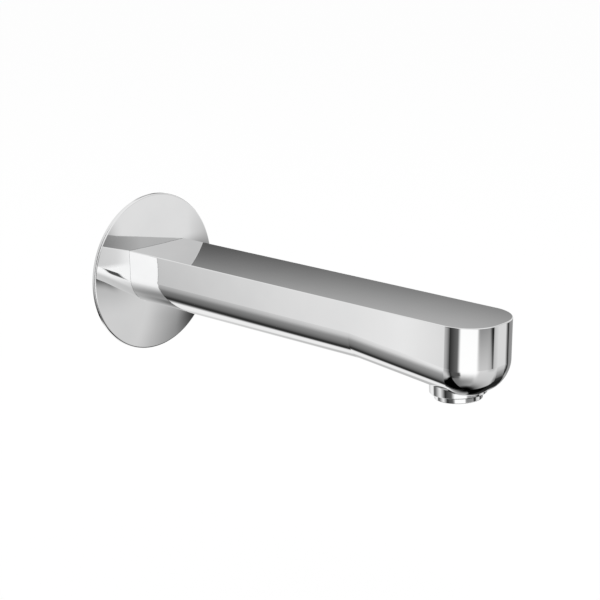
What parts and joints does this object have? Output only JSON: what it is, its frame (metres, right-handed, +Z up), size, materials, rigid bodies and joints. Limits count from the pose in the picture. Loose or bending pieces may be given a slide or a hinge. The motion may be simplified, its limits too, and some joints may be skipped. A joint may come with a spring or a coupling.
{
  "type": "bath spout",
  "caption": "Wall mounted bath spout with a flat-topped straight arm, rounded underside and nose, domed round wall flange and tilted screw-in aerator, in mirror chrome.",
  "frame": {"origin": "where the axis of the inlet thread meets the plane of the wall", "axes": "+Y into the wall along the inlet thread, the spout reaches out along -Y, +Z up"},
  "size_m": [0.07, 0.2058, 0.07],
  "materials": {
    "chrome": "polished",
    "turned_brass": "machined",
    "seal_rubber": "matte",
    "screw_steel": "machined",
    "aerator_plastic": "matte"
  },
  "bodies": {
    "root": {"spout_body": "chrome", "wall_flange": "chrome", "aerator_housing": "chrome", "wall_nipple": "turned_brass", "front_o_ring": "seal_rubber", "rear_o_ring": "seal_rubber", "grub_screw": "screw_steel", "flange_gasket": "seal_rubber", "aerator_washer": "seal_rubber", "aerator_insert": "aerator_plastic", "aerator_jet_plate": "aerator_plastic", "aerator_strainer": "aerator_plastic", "aerator_outlet_grid": "aerator_plastic"}
  },
  "joints": []
}
